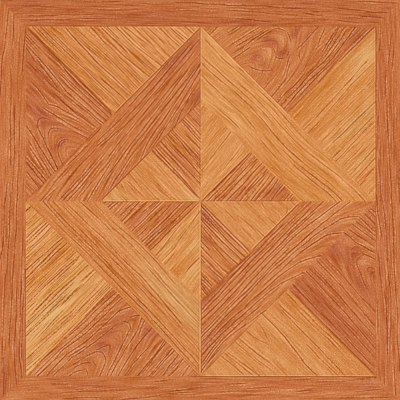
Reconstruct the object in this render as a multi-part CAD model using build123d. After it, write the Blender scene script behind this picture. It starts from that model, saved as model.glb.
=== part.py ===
"""Square vinyl floor tile, one flat sheet punched to size.

Frame: millimetres, +Z up, origin at the centre of the back.
The back lies on z = 0 and the printed wear face looks up.
"""

import os

from build123d import *

# Driving dimensions
tile_side = 304.8  # outline, a 12 inch square with sharp corners that butt against the next tiles
tile_thickness = 1.2  # the whole sheet, from the back to the wear face
rim_radius = 0.2  # the punch draws the rim of the wear face down into a small round


def punched_tile():
    """The sheet: straight punched sides, a flat back and an eased rim round the wear face."""
    with BuildPart() as sheet:
        with BuildSketch():
            Rectangle(tile_side, tile_side)
        extrude(amount=tile_thickness)
        wear_face = sheet.faces().sort_by(Axis.Z)[-1]
        fillet(wear_face.edges(), radius=rim_radius)
    return sheet.part


os.makedirs("parts", exist_ok=True)
export_step(punched_tile(), "parts/vinyl_tile.step")
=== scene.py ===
"""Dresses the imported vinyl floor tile: one thin sheet with a parquet print under a clear wear layer.

Metres, +Z up, the back of the tile on z = 0. The print is laid out in millimetres from its own
centre, and the edge that is at the top in the photograph is towards +Y.
"""

import collections
import itertools
import math

import bmesh
import bpy
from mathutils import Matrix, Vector


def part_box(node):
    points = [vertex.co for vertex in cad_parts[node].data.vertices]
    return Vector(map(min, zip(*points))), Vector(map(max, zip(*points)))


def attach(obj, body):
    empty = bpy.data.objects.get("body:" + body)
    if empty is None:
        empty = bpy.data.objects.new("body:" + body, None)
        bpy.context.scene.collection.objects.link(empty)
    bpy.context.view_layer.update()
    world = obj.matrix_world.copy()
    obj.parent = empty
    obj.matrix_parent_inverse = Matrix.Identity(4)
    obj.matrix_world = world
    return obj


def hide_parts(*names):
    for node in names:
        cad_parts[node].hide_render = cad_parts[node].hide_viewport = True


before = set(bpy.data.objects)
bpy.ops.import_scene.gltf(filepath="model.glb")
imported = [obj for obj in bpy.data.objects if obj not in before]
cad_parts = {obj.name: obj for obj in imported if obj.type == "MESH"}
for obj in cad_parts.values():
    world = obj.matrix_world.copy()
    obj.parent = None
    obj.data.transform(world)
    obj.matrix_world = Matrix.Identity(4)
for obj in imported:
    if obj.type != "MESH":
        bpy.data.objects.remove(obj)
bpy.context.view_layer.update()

# The sheet: limestone-filled vinyl, calendered flat, with a printed film and a clear wear layer pressed
# on, then punched square. The punch leaves straight sides and draws the rim of the face down a little.
MM = 0.001
rim_radius = 0.2
rim_steps = 3
round_profile = 0.5
lowest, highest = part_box("vinyl_tile")
face_height = highest.z
half_side = highest.x / MM

sheet = bmesh.new()
bmesh.ops.create_cube(sheet, size=1.0)
bmesh.ops.scale(sheet, vec=highest - lowest, verts=sheet.verts)
bmesh.ops.translate(sheet, vec=(lowest + highest) / 2, verts=sheet.verts)
rim_edges = [edge for edge in sheet.edges if all(corner.co.z > face_height / 2 for corner in edge.verts)]
bmesh.ops.bevel(
    sheet, geom=rim_edges, offset=rim_radius * MM, affect="EDGES",
    segments=rim_steps, profile=round_profile, material=-1,
)
wear_face = max(sheet.faces, key=lambda face: face.calc_area() * face.normal.z)

# The layout of the print: a mitred border round a square field of four quarters, struck a little off the
# centre of the punched square. Each quarter has a band laid cornerwise, two strips that fill the corner
# outside it and two that fill the point inside it, so the bands and points make diamonds.
field_half = 132.8
band_width = 40.4
print_centre = Vector((0.5, -1.0))
quarters = {"upper_left": (-1, 1), "upper_right": (1, 1), "lower_left": (-1, -1), "lower_right": (1, -1)}
joints = {name: Vector(sides) * field_half / 2 for name, sides in quarters.items()}
joint_reach = field_half / math.sqrt(2)
inner_reach = joint_reach - band_width
on_seam = 0.01


def place_in_print(face):
    """Where a face lies on the print: millimetres from the print's centre."""
    middle = face.calc_center_median()
    return Vector((middle.x, middle.y)) / MM - print_centre


def cut_seam(faces, through, square_to):
    """Divides faces of the print along one straight seam, and returns the faces they become."""
    edges = {edge for face in faces for edge in face.edges}
    corners = {corner for face in faces for corner in face.verts}
    divided = bmesh.ops.bisect_plane(
        sheet, geom=[*faces, *edges, *corners], dist=on_seam * MM,
        plane_co=((print_centre + through) * MM).to_3d(), plane_no=square_to.to_3d(),
    )
    return [part for part in divided["geom"] if isinstance(part, bmesh.types.BMFace)]


border_width = half_side - field_half
bmesh.ops.inset_region(
    sheet, faces=[wear_face], thickness=(border_width - rim_radius) * MM,
    use_even_offset=True, use_boundary=True,
)
bmesh.ops.translate(sheet, vec=(print_centre * MM).to_3d(), verts=wear_face.verts)
centre = Vector((0, 0))
field = cut_seam([wear_face], centre, Vector((1, 0)))
field = cut_seam(field, centre, Vector((0, 1)))
for joint in joints.values():
    outward = joint.normalized()
    sideways = outward.orthogonal()
    spots = {face: place_in_print(face) for face in field}
    quarter = [face for face, spot in spots.items() if spot.dot(joint) > abs(spot.cross(joint))]
    quarter = cut_seam(quarter, joint, outward)
    quarter = cut_seam(quarter, joint - outward * band_width, outward)
    blocks = [face for face in quarter if not inner_reach < place_in_print(face).dot(outward) < joint_reach]
    cut_seam(blocks, centre, sideways)

finishes = []
flat_up = 0.99


def lay(finish, spot):
    """Prints one strip: the face of the print whose middle is nearest to a spot takes this finish."""
    printed = [face for face in sheet.faces if face.normal.z > flat_up]
    strip = min(printed, key=lambda face: (place_in_print(face) - spot).length)
    strip.material_index = len(finishes)
    finishes.append(finish)


# The border: four strips of red-brown wood, printed with the grain along each side and mitred at the
# corners. The print of every strip is drawn as an engraver would: fine fibres that follow the growth rings,
# then the strong lines of the grain one by one, then stained places, all in a few brown inks.
class Field:
    """A value worked out by shader nodes, so that a pattern can be written as plain arithmetic."""

    def __init__(self, tree, socket):
        self.tree = tree
        self.socket = socket

    def reckon(self, operation, *others):
        node = self.tree.nodes.new("ShaderNodeMath")
        node.operation = operation
        for entry, value in zip(node.inputs, (self, *others)):
            if isinstance(value, Field):
                self.tree.links.new(value.socket, entry)
            else:
                entry.default_value = value
        return Field(self.tree, node.outputs["Value"])

    def __add__(self, other):
        return self.reckon("ADD", other)

    def __sub__(self, other):
        return self.reckon("SUBTRACT", other)

    def __mul__(self, other):
        return self.reckon("MULTIPLY", other)

    def __truediv__(self, other):
        return self.reckon("DIVIDE", other)

    def squared(self):
        return self * self

    def hill(self):
        """1 at zero, falling away smoothly on both sides."""
        return (self.squared() * -1.0).reckon("EXPONENT")

    def step_up(self, start, end):
        """0 before start and 1 after end, with a soft climb between them."""
        climb = self.tree.nodes.new("ShaderNodeMapRange")
        climb.interpolation_type = "SMOOTHSTEP"
        self.tree.links.new(self.socket, climb.inputs["Value"])
        climb.inputs["From Min"].default_value = start
        climb.inputs["From Max"].default_value = end
        return Field(self.tree, climb.outputs["Result"])


def spot_at(along, across, height=0.0):
    """The vector socket of a place on the strip."""
    spot = along.tree.nodes.new("ShaderNodeCombineXYZ")
    along.tree.links.new(along.socket, spot.inputs["X"])
    along.tree.links.new(across.socket, spot.inputs["Y"])
    spot.inputs["Z"].default_value = height
    return spot.outputs["Vector"]


# How far chance marks of one kind reach along and across the grain, in millimetres, and how strong they are.
Fleck = collections.namedtuple("Fleck", "length width weight")


def scatter(along, across, fleck, seed):
    """Smooth chance values on both sides of zero, in flecks."""
    noise = along.tree.nodes.new("ShaderNodeTexNoise")
    noise.inputs["Scale"].default_value = 1.0
    noise.inputs["Detail"].default_value = 0.0
    along.tree.links.new(spot_at(along / fleck.length, across / fleck.width, seed), noise.inputs["Vector"])
    return (Field(along.tree, noise.outputs["Fac"]) * 2.0 - 1.0) * fleck.weight


def blot(along, across, middle_along, middle_across, length, width):
    """A soft oval patch: 1 in its middle, falling away over its length and width."""
    return ((along - middle_along) / length).hill() * ((across - middle_across) / width).hill()


def engraved(off):
    """The section of a drawn line, off millimetres from its middle: 1 with shoulders below 0 beside it."""
    stroke_half = 0.42
    shoulder = 0.75
    spread = (off / stroke_half).squared()
    return (spread * -shoulder + 1.0) * (spread * -0.5).reckon("EXPONENT")


def grain_line_group():
    """One drawn line of the grain, from a start over a length: a thin stroke with shoulders of the opposite
    tone, fading out at both ends. bow is how far its middle stands off the straight."""
    end_fade = 5.0
    group = bpy.data.node_groups.new("grain_line", "ShaderNodeTree")
    for entry, kind in (("spot", "Vector"), ("start", "Vector"), ("turn", "Vector"),
                        ("length", "Float"), ("bow", "Float"), ("tone", "Float")):
        group.interface.new_socket(entry, in_out="INPUT", socket_type="NodeSocket" + kind)
    group.interface.new_socket("tone", in_out="OUTPUT", socket_type="NodeSocketFloat")
    entries = group.nodes.new("NodeGroupInput").outputs
    to_line = group.nodes.new("ShaderNodeMapping")
    to_line.vector_type = "TEXTURE"
    for entry, socket in (("spot", "Vector"), ("start", "Location"), ("turn", "Rotation")):
        group.links.new(entries[entry], to_line.inputs[socket])
    axes = group.nodes.new("ShaderNodeSeparateXYZ")
    group.links.new(to_line.outputs["Vector"], axes.inputs["Vector"])
    run = Field(group, axes.outputs["X"])
    length = Field(group, entries["length"])
    left = length - run
    lift = Field(group, entries["bow"]) * 4.0 / length
    steepness = lift * (left - run) / length
    off = Field(group, axes.outputs["Y"]) - lift * run * left / length
    off = off / (steepness.squared() + 1.0).reckon("SQRT")
    stroke = engraved(off)
    shown = run.reckon("MINIMUM", left).step_up(0.0, end_fade)
    mark = stroke * shown * Field(group, entries["tone"])
    group.links.new(mark.socket, group.nodes.new("NodeGroupOutput").inputs["tone"])
    return group


grain_line = grain_line_group()
dark_weight = 2.5
pale_weight = 1.2


def draw_line(tree, spot, line):
    """Draws (start along, start across, end along, end across, tone, bow); a straight line has no bow."""
    start_along, start_across, end_along, end_across, tone, *bow = line
    run, climb = end_along - start_along, end_across - start_across
    weight = dark_weight if tone < 0 else pale_weight
    stroke = tree.nodes.new("ShaderNodeGroup")
    stroke.node_tree = grain_line
    tree.links.new(spot, stroke.inputs["spot"])
    stroke.inputs["start"].default_value = (start_along, start_across, 0)
    stroke.inputs["turn"].default_value = (0, 0, math.atan2(climb, run))
    stroke.inputs["length"].default_value = math.hypot(run, climb)
    stroke.inputs["bow"].default_value = sum(bow)
    stroke.inputs["tone"].default_value = tone * weight
    return Field(tree, stroke.outputs["tone"])


def ink(red, green, blue):
    """A printed colour, given as eight-bit screen values, as the shader wants it."""
    screen = (level / 255 for level in (red, green, blue))
    linear = [level / 12.92 if level <= 0.04045 else ((level + 0.055) / 1.055) ** 2.4 for level in screen]
    return (*linear, 1.0)


seam_inset = 0.45


def seam_lines(edges, tones, middle):
    """The lines drawn along some edges of a strip, just inside them; middle is a place inside the strip."""
    lines = []
    for edge, tone in tones.items():
        start_along, start_across, end_along, end_across = edges[edge]
        start = Vector((start_along, start_across))
        end = Vector((end_along, end_across))
        inward = (end - start).orthogonal().normalized()
        if inward.dot(middle - start) < 0:
            inward.negate()
        shift = inward * seam_inset
        lines.append((*(start + shift), *(end + shift), tone))
    return lines


def grain_axes(tree, origin, grain):
    """The place on a strip, in millimetres from an origin on the print, and its along, across and height."""
    place = tree.nodes.new("ShaderNodeTexCoord")
    turn = tree.nodes.new("ShaderNodeMapping")
    turn.vector_type = "TEXTURE"
    turn.inputs["Location"].default_value = ((print_centre + origin) * MM).to_3d()
    turn.inputs["Rotation"].default_value = (0, 0, math.radians(grain))
    turn.inputs["Scale"].default_value = (MM, MM, MM)
    tree.links.new(place.outputs["Object"], turn.inputs["Vector"])
    axes = tree.nodes.new("ShaderNodeSeparateXYZ")
    tree.links.new(turn.outputs["Vector"], axes.inputs["Vector"])
    return turn.outputs["Vector"], *(Field(tree, axes.outputs[axis]) for axis in "XYZ")


def mix_inks(tree, share, under, over):
    """Lays one colour over another, by a share from 0 to 1. Each is a socket or an ink."""
    mix = tree.nodes.new("ShaderNodeMix")
    mix.data_type = "RGBA"
    tree.links.new(share.socket, mix.inputs["Factor"])
    colour_entries = (entry for entry in mix.inputs if entry.type == "RGBA")
    for entry, colour in zip(colour_entries, (under, over)):
        if isinstance(colour, bpy.types.NodeSocket):
            tree.links.new(colour, entry)
        else:
            entry.default_value = colour
    return next(result for result in mix.outputs if result.type == "RGBA")


def emboss(tree, height, depth):
    """Presses a relief into a surface: height is from about -1 to 1 and depth in millimetres."""
    strength = 0.3
    bump = tree.nodes.new("ShaderNodeBump")
    bump.inputs["Strength"].default_value = strength
    bump.inputs["Distance"].default_value = depth * MM
    tree.links.new(height.socket, bump.inputs["Height"])
    tree.links.new(bump.outputs["Normal"], tree.nodes["Principled BSDF"].inputs["Normal"])


# The chance marks of a print: how the grain wanders and wavers, its fibres, streaks and clouds, the grit of
# the printing screen, how hard the lines are pressed, how the growth rings drift and how strong they are, and
# how much the grit beads the lines. Every strip draws its chance from seeds of its own.
wander = Fleck(60, 26, 0.8)
waver = Fleck(14, 5, 0.5)
fibres = Fleck(15, 0.6, 0.3)
streaks = Fleck(38, 2, 0.1)
grit = Fleck(1, 0.8, 0.38)
clouds = Fleck(60, 7, 0.1)
line_press = Fleck(16, 6, 0.7)
ring_drift = Fleck(60, 5, 2.2)
ring_strength = Fleck(24, 0.27, 2)
usual_ring_strength = 0.7
ring_width = 1.5
bead_weight = 6.0
seeds_each = 10

# The clear wear layer: how deep the fibres are pressed into it, and how it shines.
emboss_depth = 0.05
wear_roughness = 0.42
wear_gloss = 0.1

# Where the rings close in arches: they point one way (1 or -1) along the grain from a base, on an axis.
Heart = collections.namedtuple("Heart", "points base reach axis taper roundness spread")
heart_start = 8.0
heart_finish = 12.0
heart_calm = 0.9

# The inks from dark to pale, by tone, and how they shift: in russet and blond patches, and for the marks
# that are darker or paler than the ground of a strip.
wood_inks = {
    -0.2: (146, 50, 0), 0.0: (158, 67, 2), 0.25: (188, 96, 42), 0.5: (207, 122, 68), 0.75: (223, 152, 93),
    1.0: (246, 182, 123),
}
darkest, palest = min(wood_inks), max(wood_inks)
russet_tone = 0.29
russet_shift = (-2, 14)
blond_shift = (-10, -6)
plain_ground = 0.33
mark_warmth = 160
mark_coolness = 14


def ink_run(tree, shade, ground, red_shift, blue_shift):
    """The inks of a strip from dark to pale, picked by shade, with a shift of their red and blue.

    Marks darker than the ground of a pale strip take a warmer ink, and paler marks a cooler one.
    """
    inks = tree.nodes.new("ShaderNodeValToRGB")
    steps = inks.color_ramp.elements
    not_placed_yet = 0.5
    while len(steps) < len(wood_inks):
        steps.new(not_placed_yet)
    for step, (position, (red, green, blue)) in zip(steps, wood_inks.items()):
        step.position = (position - darkest) / (palest - darkest)
        warmth = mark_warmth * max(0, ground - plain_ground) * max(0, ground - position)
        coolness = mark_coolness * max(0, position - ground)
        blue = max(0, blue + blue_shift - warmth + coolness)
        step.color = ink(red + red_shift, green, blue)
    tree.links.new(((shade - darkest) / (palest - darkest)).socket, inks.inputs["Fac"])
    return inks.outputs["Color"]


def wood_print(
    name, origin, grain, tone, *, rosy=0, slope=0.0, fan=0.0, wave=(0.0, 100.0, 0.0), heart=None,
    lines=(), seams=(), stains=(), russet=(), blond=(), pressure=1.0, veins=0.35, streaky=1.0,
):
    """Printed wood for one strip, in millimetres along and across the grain from an origin.

    grain is the angle of the grain and tone its mean, from dark (0) to pale (1). The fibres climb by slope,
    and by fan more for each millimetre across; wave is (height, length, crest). lines ride on the wave and
    seams don't. stains are (along, across, length, width, tone), and russet and blond patches are the same
    with a share in place of the tone.
    """
    seeds = itertools.count(seeds_each * len(finishes))
    material = bpy.data.materials.new(name)
    material.use_nodes = True
    tree = material.node_tree
    shader = tree.nodes["Principled BSDF"]
    spot, along, across, _ = grain_axes(tree, origin, grain)

    wave_height, wave_length, crest = wave
    swing = ((along - crest) * (2 * math.pi / wave_length)).reckon("COSINE") * wave_height
    drawn = across - swing + scatter(along, across, wander, next(seeds))
    drawn = drawn + scatter(along, across, waver, next(seeds))
    level = drawn - along * (drawn * fan + slope)
    vein_weight = -veins
    if heart:
        rise = ((along - heart.base) * heart.points).reckon("SMOOTH_MAX", 0.0, heart_start)
        rise = rise.reckon("SMOOTH_MIN", heart.reach, heart_finish)
        off_axis = level - heart.axis
        nearness = (off_axis / heart.spread).hill()
        vein_weight = nearness * (veins * heart_calm) - veins
        level = (off_axis.squared() + heart.roundness ** 2).reckon("SQRT") + rise * nearness * heart.taper

    fibre = scatter(along, level, fibres, next(seeds))
    streak = scatter(along, level, streaks, next(seeds)) * streaky
    speck = scatter(along, across, grit, next(seeds))
    shade = fibre + streak + speck + scatter(along, level, clouds, next(seeds)) + tone

    beaded = (speck * bead_weight + 1.0).reckon("MAXIMUM", 0.0)
    press = (beaded + scatter(along, drawn, line_press, next(seeds))) * pressure
    ring = (level + scatter(along, level, ring_drift, next(seeds))) / ring_width
    ring_number = ring.reckon("FLOOR")
    strength = scatter(along, ring_number, ring_strength, next(seeds)) + usual_ring_strength
    off_ring = (ring - ring_number - 0.5) * ring_width
    shade = shade + engraved(off_ring) * beaded * strength.reckon("MAXIMUM", 0.0) * vein_weight

    drawn_spot = spot_at(along, drawn)
    for line in lines:
        shade = shade + draw_line(tree, drawn_spot, line) * press
    for seam in seams:
        shade = shade + draw_line(tree, spot, seam)
    for *oval, stain_tone in stains:
        shade = shade + blot(along, drawn, *oval) * stain_tone
    russet_patches, blond_patches = (
        [blot(along, drawn, *oval) * share for *oval, share in ovals] for ovals in (russet, blond)
    )
    for patch in russet_patches:
        shade = shade + patch * (russet_tone - tone)

    colour = ink_run(tree, shade, tone, 0, rosy)
    patch_kinds = (russet_patches, russet_tone, russet_shift), (blond_patches, tone, blond_shift)
    for patches, ground, shift in patch_kinds:
        if patches:
            patch_colour = ink_run(tree, shade, ground, *shift)
        for patch in patches:
            colour = mix_inks(tree, patch, colour, patch_colour)
    tree.links.new(colour, shader.inputs["Base Color"])

    emboss(tree, fibre + streak, emboss_depth)
    shader.inputs["Roughness"].default_value = wear_roughness
    shader.inputs["Specular IOR Level"].default_value = wear_gloss
    return material


border_middle = field_half + border_width / 2
lay(wood_print(
    "border_top", Vector((0, half_side)) - print_centre, 0, 0.4,
    rosy=5, slope=-0.02, pressure=0.7, veins=0.18,
    lines=[(-90, -1.9, -58, -1.7, -0.3), (-22, -2, 4, -3, -0.3), (-86, -7.3, -60, -7.2, 0.26),
           (-80, -8.3, -45, -8, -0.26), (-22, -7.3, 3, -7.2, 0.26), (-108, -11.9, -78, -11.6, -0.3),
           (-133, -12.7, -106, -12.3, -0.34), (-131, -15.6, -96, -15.3, -0.34),
           (-94, -14.4, -58, -15, -0.3), (-96, -15.5, -76, -15.3, 0.2), (-5, -3.2, 22, -3.7, -0.26),
           (15, -4, 45, -5, -0.3), (40, -4.8, 80, -6.6, -0.34), (82, -8.2, 95, -9, -0.3),
           (-3, -8.1, 16, -8.2, 0.26), (20, -7.8, 52, -10.2, -0.26), (25, -13.6, 57, -17.6, -0.26),
           (20, -12.6, 48, -15.2, 0.16), (48, -10.2, 78, -12.2, -0.26), (78, -10, 96, -12.2, -0.3),
           (75, -14, 102, -15.8, -0.24), (102, -6.4, 131, -9.2, -0.3), (124, -9.4, 148, -10.5, -0.36),
           (118, -12.5, 145, -14.7, -0.34), (98, -15, 122, -18.2, -0.24), (126, -17.5, 140, -18.1, -0.3),
           (116, -0.8, 152, -3.4, -0.28)],
    seams=[(-134, -20.1, 134, -20.1, -0.1)],
    russet=[(-125, -4, 24, 5, 0.5), (-122, -17, 16, 2.5, 0.5), (-35, -13, 26, 4, 0.6),
            (-70, -14, 24, 3, 0.4), (30, -17, 20, 4, 0.5), (90, -3, 24, 3, 0.5), (125, -14, 16, 3, 0.5)],
), Vector((0, border_middle)))
lay(wood_print(
    "border_bottom", Vector((0, -half_side)) - print_centre, 0, 0.47,
    rosy=3, slope=0.025, pressure=0.75, veins=0.18,
    lines=[(-135, 8.4, -110, 8, -0.22), (-114, 12.8, -96, 12.7, -0.34), (-107, 6, -85, 6.6, -0.22),
           (-97, 8.1, -86, 8.9, -0.34), (-84, 10, -71, 10.5, -0.34), (-78, 7, -55, 8, -0.22),
           (-56, 10.6, -30, 11.6, 0.2), (-106, 1, -74, 2.3, -0.26), (-62, 0.5, -26, 4.5, -0.3, -0.3),
           (-37, 14.4, -16, 15.5, -0.24), (-28, 5.3, -6, 6.1, -0.34), (-24, 7, -2, 8.6, -0.32),
           (-12, 9, 8, 10, -0.26), (-24, 7.8, -8, 8.6, 0.22), (-20, 4.8, 0, 5.4, 0.2),
           (17, 12.5, 37, 13, -0.36), (20, 11.6, 40, 12, 0.2), (11, 6.3, 31, 7.3, -0.32),
           (16, 2.5, 36, 3.3, -0.28), (34, 9, 62, 10.6, -0.26), (40, 5.5, 74, 8.6, 0.16),
           (71, 6.6, 87, 8.9, -0.34), (73, 8.6, 86, 10.2, 0.24), (60, 15.2, 86, 16.3, -0.24),
           (78, 14.9, 114, 15, 0.26), (86, 14.1, 114, 14, -0.26), (116, 16.6, 137, 16.8, -0.36),
           (116, 15.5, 135, 15.4, -0.34), (104, 1.8, 152, 2.8, -0.26), (116, 6.4, 140, 8, -0.24)],
    seams=[(-10, 18.1, 138, 18.1, -0.25)],
    stains=[(62, 13.3, 34, 2, -0.08), (80, 7, 40, 2, 0.06)],
    russet=[(-85, 11, 18, 3, 0.4), (-105, 18, 15, 3, 0.4), (130, 11, 14, 4, 0.6), (5, 10, 14, 4, 0.4)],
), Vector((0, -border_middle)))
lay(wood_print(
    "border_left", Vector((-half_side, 0)) - print_centre, 90, 0.45,
    rosy=2, slope=-0.025, pressure=0.8, veins=0.18,
    lines=[(-153, -3.3, -110, -3.5, -0.36), (-134, -1.8, -104, -2.2, -0.3), (-108, -2.4, -70, -3.5, -0.36),
           (-78, -3.3, -54, -4.8, -0.34), (-60, -4.8, -34, -6.8, -0.36), (-42, -6.1, -22, -8.1, -0.4),
           (-30, -7.7, 8, -8.8, -0.42), (-50, 0.4, -28, -3.5, -0.34), (-36, -3.1, 6, -4.3, -0.4),
           (-114, -7.3, -76, -9.1, -0.32), (-84, -8.7, -48, -10.4, -0.36), (-52, -10.2, -22, -12.6, -0.3),
           (-30, -12.5, 6, -13.7, -0.34), (-142, -13.3, -108, -11.3, -0.34, 0.4),
           (-116, -11.1, -94, -12.7, -0.36), (-102, -12.6, -66, -12.8, -0.4),
           (-139, -17.7, -116, -15.5, -0.36), (-124, -15.6, -96, -15.6, -0.4),
           (-102, -16.4, -84, -16.4, -0.38), (-90, -15.6, -66, -15.8, -0.34),
           (-74, -16.2, -56, -16.4, -0.46), (-58, -16.8, -20, -18, -0.3), (-122, -17.4, -68, -17.8, -0.34),
           (-72, -17.3, -50, -18.1, 0.26), (-4, -4.5, 16, -6.2, -0.42), (24, -8.2, 68, -8.2, -0.4),
           (60, -8.4, 102, -8.3, -0.26, -0.4), (118, -9.9, 146, -11.3, -0.42), (112, -10, 134, -10.6, 0.2),
           (-4, -9.4, 38, -11.3, -0.3), (32, -11.2, 74, -11, -0.36), (-4, -13.5, 22, -14.3, -0.26),
           (20, -14.6, 64, -14.8, -0.3), (78, -0.5, 114, -2.7, -0.44), (106, -2.2, 136, -6.2, -0.46),
           (130, -5.6, 148, -6.7, -0.3), (93, -16.5, 120, -18.6, -0.3), (112, -18.4, 136, -20.3, -0.4),
           (110, -14.2, 134, -16.3, -0.24)],
    seams=[(-136, -19.6, -50, -19.6, -0.2)],
    stains=[(-76, -8, 14, 3, -0.1), (-35, -11.3, 10, 3, -0.08), (-15, -13, 10, 2, 0.08)],
    russet=[(-140, -3, 14, 4, 0.6), (-118, -16.5, 16, 3, 0.5), (-70, -17, 20, 2, 0.4)],
), Vector((-border_middle, 0)))
lay(wood_print(
    "border_right", Vector((half_side, 0)) - print_centre, 90, 0.44,
    rosy=4, slope=0.035, pressure=0.75, veins=0.18,
    lines=[(-155, 4.3, -116, 6.1, 0.28), (-122, 6, -82, 8.9, 0.26), (-155, 3.3, -124, 4.7, -0.36),
           (-106, 7.6, -72, 7.7, -0.26), (-78, 7.5, -52, 9.7, -0.36), (-60, 9.4, -22, 10.9, -0.36),
           (-32, 10.2, 6, 14.8, -0.4, -0.3), (-68, 10.2, -28, 12.3, 0.26), (-136, 0, -104, 2.5, -0.34),
           (-112, 2.2, -76, 3.1, -0.34), (-84, 2.9, -48, 5, -0.36), (-56, 4.8, -20, 5.2, -0.4),
           (-30, 4.9, 6, 7.1, -0.34), (-120, 9.6, -90, 10.1, -0.36), (-98, 10, -66, 12.5, -0.3),
           (-144, 12, -126, 12, -0.3), (-124, 16.8, -94, 17.5, 0.22), (-104, 17, -72, 17.6, -0.3),
           (-72, 14.3, -38, 17.1, -0.3), (-30, 14, -6, 17.8, -0.42), (-14, 17.3, 6, 18.5, -0.42),
           (-28, 15.2, -4, 18.8, 0.28), (-6, 14.8, 18, 15.7, -0.4), (10, 15.4, 40, 15.6, -0.3),
           (36, 17.4, 66, 17.2, -0.26), (70, 18.6, 90, 18.8, -0.36), (-6, 6.2, 16, 6.9, -0.36),
           (10, 7.1, 38, 8.7, -0.36), (32, 8.3, 58, 10.1, -0.38), (50, 10, 78, 10.2, -0.3),
           (76, 11.4, 100, 12, -0.3), (84, 10.8, 100, 11.3, 0.24), (42, 5.6, 64, 5.8, -0.3),
           (58, 2.6, 73, 2.6, -0.4), (-6, 1, 32, 1.2, -0.3), (98, 9.9, 126, 6.8, -0.32),
           (96, 7.1, 118, 4.9, -0.36), (110, 16.1, 134, 14.9, -0.34)],
    seams=[(-10, 18.6, 138, 18.6, -0.25)],
    stains=[(95, 5, 12, 2.5, -0.08), (73, 8, 14, 3, -0.1), (53, 11.5, 12, 3, -0.08)],
    russet=[(-90, 11, 26, 2.5, 0.5), (-45, 14, 14, 2.5, 0.5), (0, 12, 20, 3, 0.5), (95, 13, 20, 3, 0.4),
            (20, 1.5, 20, 2, 0.5)],
), Vector((border_middle, 0)))

# The bands: four wide strips laid cornerwise, each with its grain along it, so that they make a diamond
# that touches the middle of each side. They run from pale oak to warm brown.
rising = 45
falling = -45


def lay_band(quarter, grain, tone, seams, **drawing):
    """Lays the band of a quarter. Its start is the end on the left, and each long edge has two halves."""
    joint = joints[quarter]
    width = -math.copysign(band_width, joint.y)
    edges = {
        "outer_start": (-joint_reach, 0, 0, 0), "outer_end": (0, 0, joint_reach, 0),
        "inner_start": (-inner_reach, width, 0, width), "inner_end": (0, width, inner_reach, width),
        "start": (-joint_reach, 0, -inner_reach, width), "end": (joint_reach, 0, inner_reach, width),
    }
    seams = seam_lines(edges, seams, Vector((0, width / 2)))
    finish = wood_print("band_" + quarter, joint, grain, tone, seams=seams, **drawing)
    lay(finish, joint * (1 - band_width / 2 / joint_reach))


lay_band(
    "upper_left", rising, 0.51,
    {"outer_start": -0.1, "outer_end": -0.3, "inner_start": -0.35, "inner_end": -0.15, "end": -0.1},
    slope=0.04, fan=-0.005, rosy=1, pressure=1.1,
    lines=[(-32, -1.3, -12, -0.5, -0.3), (-54, -3.1, -30, -2.1, -0.3), (11, -4.1, 36, -3.4, -0.42),
           (30, -3.6, 64, -1.4, -0.36), (-25, -5.9, 12, -6.6, -0.3), (-28, -7.8, -14, -9.4, -0.34),
           (-88, -8.3, -66, -8.5, 0.28), (-86, -9.2, -70, -9.6, -0.28), (-60, -10.4, -26, -8.5, -0.26),
           (-27, -10.3, 0, -11.4, -0.38), (-14, -12.4, 8, -12, -0.26), (4, -9.1, 62, -5.3, -0.3),
           (30, -7.9, 80, -4.2, -0.26), (2, -12.8, 44, -9.9, -0.26), (40, -10.2, 90, -6.1, -0.26),
           (36, -13.4, 80, -10, -0.24), (-78, -17.6, -36, -15.8, -0.3, -0.4),
           (-75, -19.7, -52, -19.1, -0.44), (-56, -19.4, -24, -16.3, -0.42),
           (-75, -22.4, -50, -21.1, -0.36), (-54, -21.4, -29, -19.2, -0.26), (-27, -20, -4, -17.8, -0.44),
           (-8, -18.2, 34, -14.2, -0.24), (6, -19.6, 34, -17.3, -0.3), (30, -17.6, 60, -15.9, -0.3),
           (-66, -27, -46, -24.7, -0.3), (-39, -24.7, 0, -20.8, -0.24), (-64, -33.3, -36, -26.6, -0.44),
           (-40, -27.5, -24, -24.4, -0.36), (-39, -30.3, -16, -27.4, -0.4), (-20, -27.8, 20, -22.2, -0.3),
           (16, -22.8, 66, -16, -0.3), (-20, -30.4, 20, -25, -0.32), (14, -25.7, 80, -18.4, -0.3),
           (-12, -41, 8, -32.8, -0.44, 0.7), (2, -34.2, 36, -28, -0.4, 0.3), (30, -29, 80, -18.6, -0.36),
           (9, -38.6, 34, -33, -0.38, 0.4), (28, -34.2, 76, -21.8, -0.34), (24, -41, 50, -32.2, -0.38, 0.5),
           (44, -33.2, 66, -28, -0.3), (-44, -38.7, -24, -34.5, -0.4, 0.3), (-28, -35, 4, -29.8, -0.22),
           (46, -38.6, 52, -35.6, -0.26, 1)],
    stains=[(54, -37, 9, 3.5, -0.05), (-64, -6, 20, 6, 0.14), (-62, -26, 12, 5, 0.1),
            (20, -23, 12, 3, 0.08), (5, -33, 12, 3, -0.06), (-36, -5, 16, 3.5, -0.14),
            (5, -4.5, 30, 3, -0.08), (42, -7, 12, 3, -0.08), (20, -13.5, 14, 2.5, -0.08),
            (-12, -26, 9, 4, -0.12), (-20, -36, 14, 2.5, 0.1)],
    russet=[(68, -5, 20, 4.5, 0.9), (54, -37, 9, 3.5, 1.0), (-33, -36, 12, 2.5, 0.5),
            (64, -22, 12, 3.5, 0.5)],
)
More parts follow.
